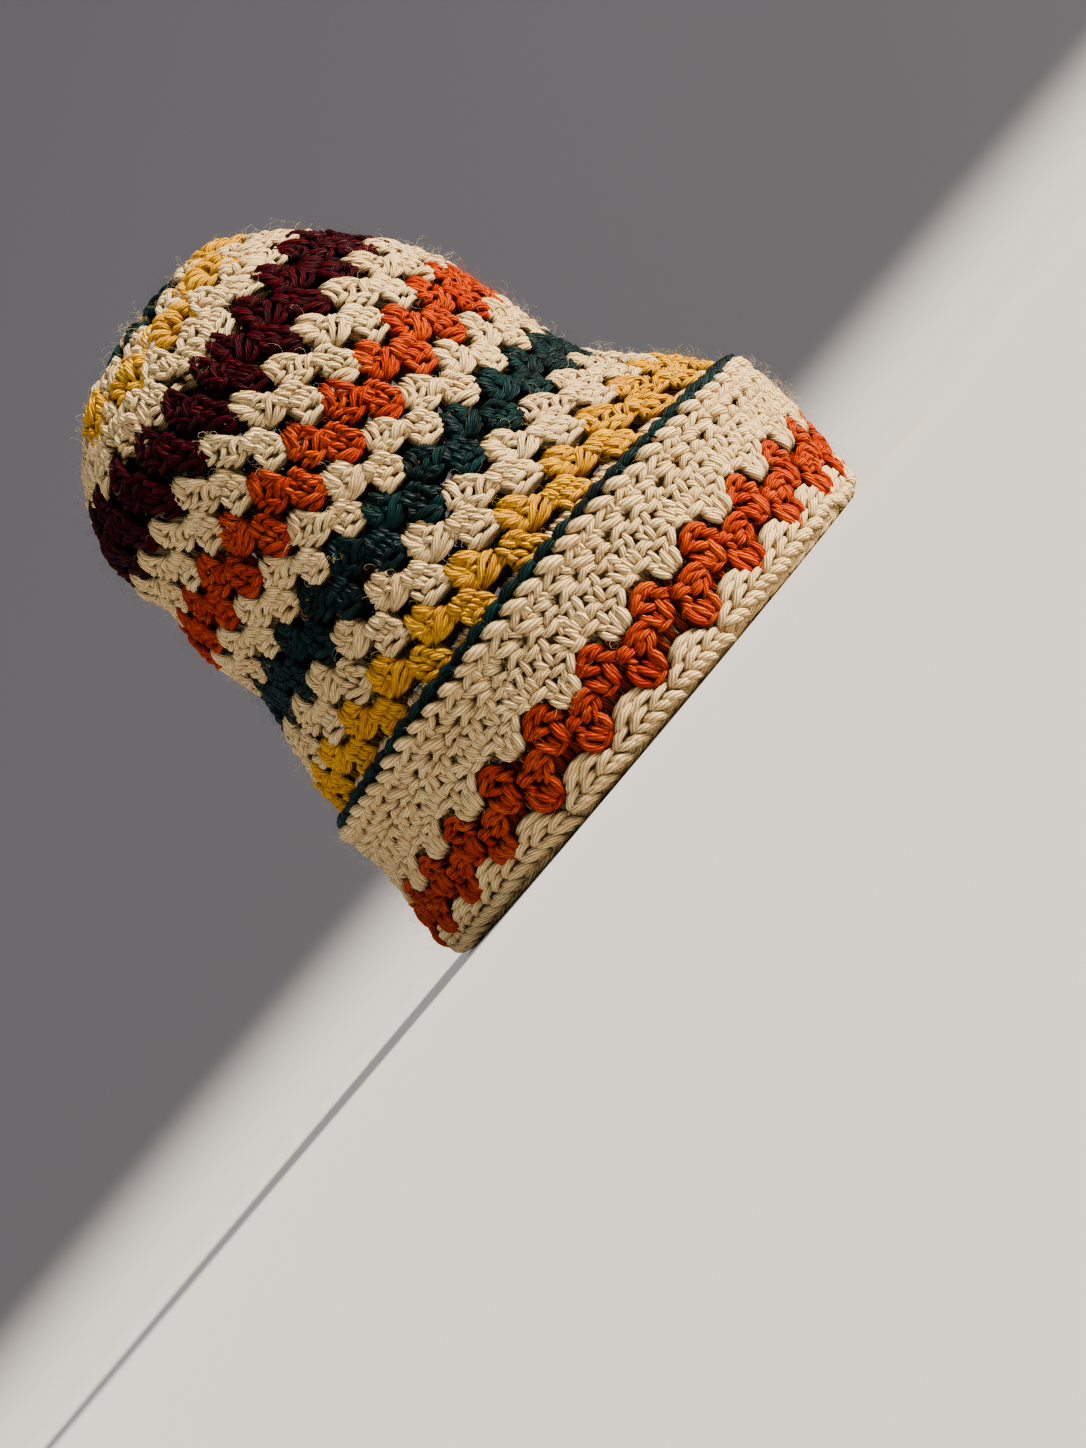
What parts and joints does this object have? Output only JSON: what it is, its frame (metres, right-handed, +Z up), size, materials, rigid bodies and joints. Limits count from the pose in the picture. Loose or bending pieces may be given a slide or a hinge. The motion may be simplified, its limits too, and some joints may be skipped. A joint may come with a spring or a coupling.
{
  "type": "slouchy crocheted beanie with a turned-up brim",
  "caption": "Slouchy crocheted granny-stripe beanie with a turned-up brim, hollow and open below, standing on its rim.",
  "frame": {"origin": "on the floor under the middle of the hat's length and width", "axes": "+Z up through the crown, +X to the front of the hat, +Y to its left"},
  "size_m": [0.2233, 0.187, 0.235],
  "materials": {
    "cream_yarn": "worsted yarn, matt with a faint fuzz",
    "orange_yarn": "worsted yarn, matt with a faint fuzz",
    "teal_yarn": "worsted yarn, matt with a faint fuzz",
    "mustard_yarn": "worsted yarn, matt with a faint fuzz",
    "burgundy_yarn": "worsted yarn, matt with a faint fuzz"
  },
  "bodies": {
    "root": {"crown_centre_cream": "cream_yarn", "crown_ring_teal": "teal_yarn", "crown_ring_cream": "cream_yarn", "crown_ring_mustard": "mustard_yarn", "ring_1_cream": "cream_yarn", "ring_2_burgundy": "burgundy_yarn", "ring_3_cream": "cream_yarn", "ring_4_orange": "orange_yarn", "ring_5_cream": "cream_yarn", "ring_6_teal": "teal_yarn", "ring_7_cream": "cream_yarn", "ring_8_mustard": "mustard_yarn", "inner_layer_cream": "cream_yarn", "rim_fold_cream": "cream_yarn", "brim_orange": "orange_yarn", "brim_cream": "cream_yarn", "brim_edge_teal": "teal_yarn"}
  },
  "joints": []
}
